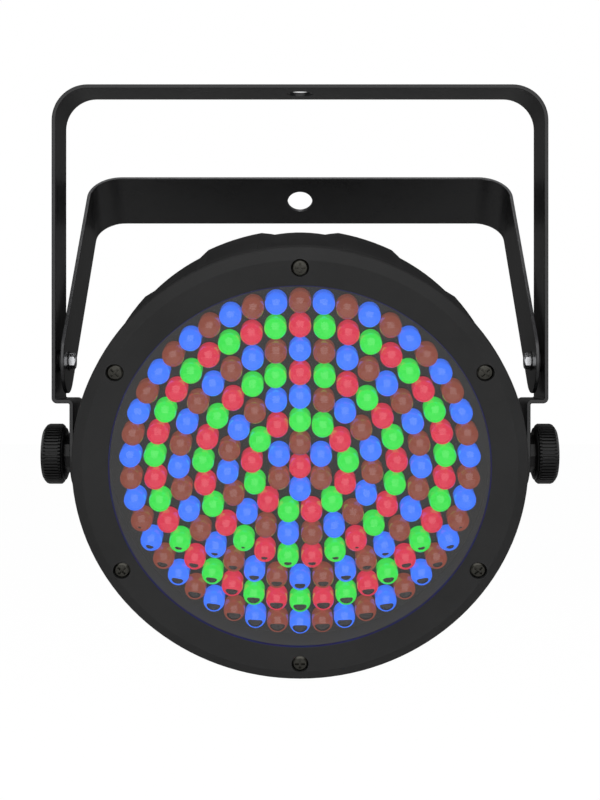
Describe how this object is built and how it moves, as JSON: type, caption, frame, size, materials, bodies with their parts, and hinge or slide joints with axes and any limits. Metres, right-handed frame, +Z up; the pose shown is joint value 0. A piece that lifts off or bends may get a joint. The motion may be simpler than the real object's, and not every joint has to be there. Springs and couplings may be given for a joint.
{
  "type": "par can light",
  "caption": "Slim stage wash light with a round array of small coloured LEDs, a hanging yoke, a folding stand yoke and tilt knobs.",
  "frame": {"origin": "centre of the hanging hole, on the upper face of the hanging yoke", "axes": "+Z up along the hanging hole, the light faces -Y, +X to the right seen from the front"},
  "size_m": [0.2396, 0.1495, 0.275],
  "materials": {
    "yoke_paint": "fine textured black powder coat, satin",
    "bezel_plastic": "fine moulded grain, satin",
    "housing_plastic": "fine moulded grain, satin",
    "inner_plastic": "matt",
    "knob_plastic": "moulded, lightly worn ribs",
    "keypad_plastic": "matt",
    "clear_lens": "clear polished cover",
    "smoked_window": "smoked red window",
    "rubber_black": "matt",
    "seal_navy": "dark blue channel seal",
    "nylon_black": "nylon",
    "nylon_white": "nylon",
    "zinc": "bright zinc plate",
    "zinc_black": "black oxide",
    "screw_black": "black zinc",
    "board_dark": "dark solder mask",
    "board_green": "solder mask",
    "led_red": "tinted epoxy",
    "led_green": "tinted epoxy",
    "led_blue": "tinted epoxy",
    "led_amber": "tinted epoxy",
    "brass": "machined",
    "sheet_aluminium": "mill finish",
    "core_iron": "laminated and varnished",
    "coil_tape": "polyester tape",
    "capacitor_sleeve": "shrink sleeve",
    "ribbon_grey": "flat cable",
    "panel_paint": "black powder coat",
    "display_black": "matt",
    "button_grey": "matt",
    "socket_metal": "black plated die casting",
    "socket_plastic": "matt",
    "silver_pins": "silver plate",
    "fuse_glass": "glass tube fuse"
  },
  "bodies": {
    "yoke": {"hanging_yoke": "yoke_paint", "yoke_friction_washers": "rubber_black", "stand_pivot_studs": "zinc", "stand_pivot_spacers": "nylon_black", "stand_pivot_washers": "nylon_black", "stand_pivot_nuts": "zinc"},
    "head": {"front_bezel": "bezel_plastic", "front_lens": "clear_lens", "lens_gasket": "seal_navy", "lens_retainer_ring": "inner_plastic", "bezel_screws": "screw_black", "led_board": "board_dark", "leds_red": "led_red", "leds_green": "led_green", "leds_blue": "led_blue", "leds_amber": "led_amber", "rear_housing": "housing_plastic", "pivot_inserts": "brass", "chassis_plate": "sheet_aluminium", "chassis_and_panel_screws": "zinc", "board_standoffs": "brass", "power_supply_board": "board_green", "led_driver_board": "board_green", "board_spacers": "nylon_white", "transformer_core": "core_iron", "transformer_coil": "coil_tape", "supply_capacitors": "capacitor_sleeve", "driver_heat_sink": "sheet_aluminium", "led_ribbon_cable": "ribbon_grey", "rear_panel": "panel_paint", "control_panel": "keypad_plastic", "display_window": "smoked_window", "display_module": "display_black", "control_board": "board_green", "button_switches": "display_black", "dmx_input_socket": "socket_metal", "dmx_input_pins": "silver_pins", "dmx_output_socket": "socket_metal", "dmx_output_insert": "socket_plastic", "dmx_socket_screws": "screw_black", "power_inlet": "socket_plastic", "power_inlet_pins": "silver_pins", "power_outlet": "socket_plastic", "fuse_holder": "socket_plastic", "safety_loop": "zinc_black", "safety_loop_nuts": "zinc"},
    "stand": {"stand_yoke": "yoke_paint"},
    "right_clamp_washer": {"right_knob_washer": "zinc_black"},
    "left_clamp_washer": {"left_knob_washer": "zinc_black"},
    "right_knob_body": {"right_knob": "knob_plastic", "right_knob_stud": "zinc"},
    "left_knob_body": {"left_knob": "knob_plastic", "left_knob_stud": "zinc"},
    "button_1": {"menu_button_1": "button_grey"},
    "button_2": {"menu_button_2": "button_grey"},
    "button_3": {"menu_button_3": "button_grey"},
    "button_4": {"menu_button_4": "button_grey"},
    "release_tab": {"dmx_release_tab": "zinc"},
    "fuse_carrier": {"fuse_cap": "socket_plastic", "fuse": "fuse_glass"}
  },
  "joints": [
    {"name": "head_tilt", "type": "hinge", "parent": "yoke", "child": "head", "pos_m": [0, 0, -0.1695], "axis": [1, 0, 0], "range_deg": [-105, 75]},
    {"name": "stand_fold", "type": "hinge", "parent": "yoke", "child": "stand", "pos_m": [0, 0, -0.1263], "axis": [1, 0, 0], "range_deg": [-49, 141]},
    {"name": "right_knob_back_off", "type": "slide", "parent": "head", "child": "right_clamp_washer", "axis": [1, 0, 0], "range_m": [0, 0.0025]},
    {"name": "right_knob_turn", "type": "hinge", "parent": "right_clamp_washer", "child": "right_knob_body", "pos_m": [0.112, 0, -0.1695], "axis": [1, 0, 0], "range_deg": [0, 720]},
    {"name": "left_knob_back_off", "type": "slide", "parent": "head", "child": "left_clamp_washer", "axis": [-1, 0, 0], "range_m": [0, 0.0025]},
    {"name": "left_knob_turn", "type": "hinge", "parent": "left_clamp_washer", "child": "left_knob_body", "pos_m": [-0.112, 0, -0.1695], "axis": [-1, 0, 0], "range_deg": [0, 720]},
    {"name": "button_1_press", "type": "slide", "parent": "head", "child": "button_1", "axis": [0, -0.9659, -0.2588], "range_m": [0, 0.001], "stiffness_N_per_m": 500},
    {"name": "button_2_press", "type": "slide", "parent": "head", "child": "button_2", "axis": [0, -0.9659, -0.2588], "range_m": [0, 0.001], "stiffness_N_per_m": 500},
    {"name": "button_3_press", "type": "slide", "parent": "head", "child": "button_3", "axis": [0, -0.9659, -0.2588], "range_m": [0, 0.001], "stiffness_N_per_m": 500},
    {"name": "button_4_press", "type": "slide", "parent": "head", "child": "button_4", "axis": [0, -0.9659, -0.2588], "range_m": [0, 0.001], "stiffness_N_per_m": 500},
    {"name": "dmx_release_press", "type": "slide", "parent": "head", "child": "release_tab", "axis": [0, 0.2588, -0.9659], "range_m": [0, 0.0015], "stiffness_N_per_m": 600},
    {"name": "fuse_cap_turn", "type": "hinge", "parent": "head", "child": "fuse_carrier", "pos_m": [0, 0.0405, -0.15451], "axis": [0, 0.9659, 0.2588], "range_deg": [-90, 0]}
  ],
  "couplings": [
    {"joint": "right_knob_back_off", "follows": "right_knob_turn", "m_per_rad": 0.00019894},
    {"joint": "left_knob_back_off", "follows": "left_knob_turn", "m_per_rad": 0.00019894}
  ]
}
